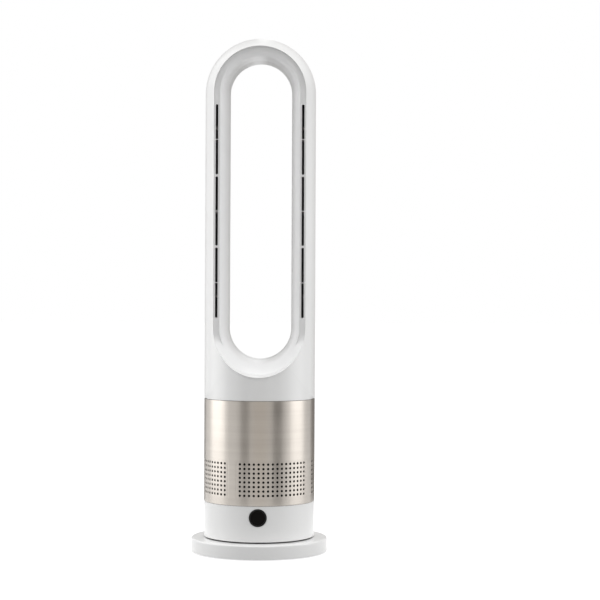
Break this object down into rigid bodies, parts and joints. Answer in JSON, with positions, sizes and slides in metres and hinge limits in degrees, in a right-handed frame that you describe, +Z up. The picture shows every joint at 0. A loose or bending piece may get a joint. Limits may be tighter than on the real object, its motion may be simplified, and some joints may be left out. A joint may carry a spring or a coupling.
{
  "type": "bladeless tower fan",
  "caption": "Bladeless tower fan: tall hollow loop with air slits on a perforated metal intake sleeve, a control band and a round base that it swings on.",
  "frame": {"origin": "on the floor, at the centre of the round base", "axes": "+Z up, front with the key and slits towards -Y, +X to the right seen from the front"},
  "size_m": [0.256, 0.256, 0.965],
  "materials": {
    "white_plastic": "satin white moulding",
    "pale_grey_plastic": "fine matt pale grey",
    "black_plastic": "matt black",
    "black_gloss": "polished black",
    "bezel_black": "satin black",
    "sleeve_metal": "brushed champagne sheet",
    "dark_plastic": "textured dark grey",
    "ivory_plastic": "natural moulding",
    "impeller_plastic": "glass filled, dark grey",
    "rubber": "matt",
    "ballast_iron": "painted",
    "screw_steel": "zinc plated",
    "ground_steel": "ground",
    "motor_shell": "plain",
    "stator_steel": "stacked sheet",
    "copper": "enamelled wire",
    "board_green": "solder mask",
    "board_parts": "moulded parts"
  },
  "bodies": {
    "base": {"base_cover": "white_plastic", "base_floor": "dark_plastic", "counterweight": "ballast_iron", "rubber_feet": "rubber", "base_screws": "screw_steel", "cord_grommet": "rubber", "spindle": "ground_steel", "spindle_screws": "screw_steel", "thrust_washer": "ivory_plastic", "sector_gear": "ivory_plastic", "retaining_ring": "ground_steel"},
    "ball_ring": {"ball_cage": "ivory_plastic", "bearing_balls": "ground_steel"},
    "tower": {"turntable": "dark_plastic", "turntable_screws": "screw_steel", "swing_motor": "motor_shell", "swing_screws": "screw_steel", "control_band": "white_plastic", "key_bezel": "bezel_black", "key_board": "board_green", "key_parts": "board_parts", "key_screws": "screw_steel", "main_board": "board_green", "main_parts": "board_parts", "board_screws": "screw_steel", "deck_plate": "dark_plastic", "deck_screws": "screw_steel", "intake_sleeve": "sleeve_metal", "intake_core": "dark_plastic", "bucket_seal": "rubber", "inlet_ring": "ivory_plastic", "blower_dampers": "rubber", "blower_screws": "screw_steel", "impeller_shroud": "ivory_plastic", "diffuser": "ivory_plastic", "motor_can": "motor_shell", "motor_endbell": "motor_shell", "stator_core": "stator_steel", "stator_coils": "copper", "motor_bearings": "ground_steel", "motor_screws": "screw_steel", "bullet_cap": "ivory_plastic", "neck_collar": "dark_plastic", "collar_screws": "screw_steel", "neck_gasket": "rubber", "neck_screws": "screw_steel", "loop_front_shell": "white_plastic", "loop_rear_shell": "white_plastic", "loop_liner": "pale_grey_plastic", "nozzle_left": "black_plastic", "nozzle_right": "black_plastic", "loop_screws": "screw_steel"},
    "key": {"power_key": "black_gloss"},
    "pinion": {"swing_shaft": "ground_steel", "swing_pinion": "ivory_plastic"},
    "rotor": {"impeller": "impeller_plastic", "impeller_nut": "ground_steel", "motor_shaft": "ground_steel", "rotor_magnet": "stator_steel"}
  },
  "joints": [
    {"name": "oscillate", "type": "hinge", "parent": "base", "child": "tower", "pos_m": [0, 0, 0.03], "axis": [0, 0, 1], "range_deg": [-40, 40]},
    {"name": "ball_roll", "type": "hinge", "parent": "base", "child": "ball_ring", "pos_m": [0, 0, 0.0287], "axis": [0, 0, 1], "range_deg": [-20.5, 20.5]},
    {"name": "pinion_spin", "type": "hinge", "parent": "tower", "child": "pinion", "pos_m": [0, 0.045, 0.045], "axis": [0, 0, 1], "range_deg": [-162, 162]},
    {"name": "impeller_spin", "type": "hinge", "parent": "tower", "child": "rotor", "pos_m": [0, 0, 0.21], "axis": [0, 0, 1], "continuous": true},
    {"name": "power_press", "type": "slide", "parent": "tower", "child": "key", "axis": [0, 1, 0], "range_m": [0, 0.0008], "stiffness_N_per_m": 800, "springref_m": -0.001}
  ],
  "couplings": [
    {"joint": "ball_roll", "follows": "oscillate", "ratio": 0.5},
    {"joint": "pinion_spin", "follows": "oscillate", "ratio": 4}
  ]
}
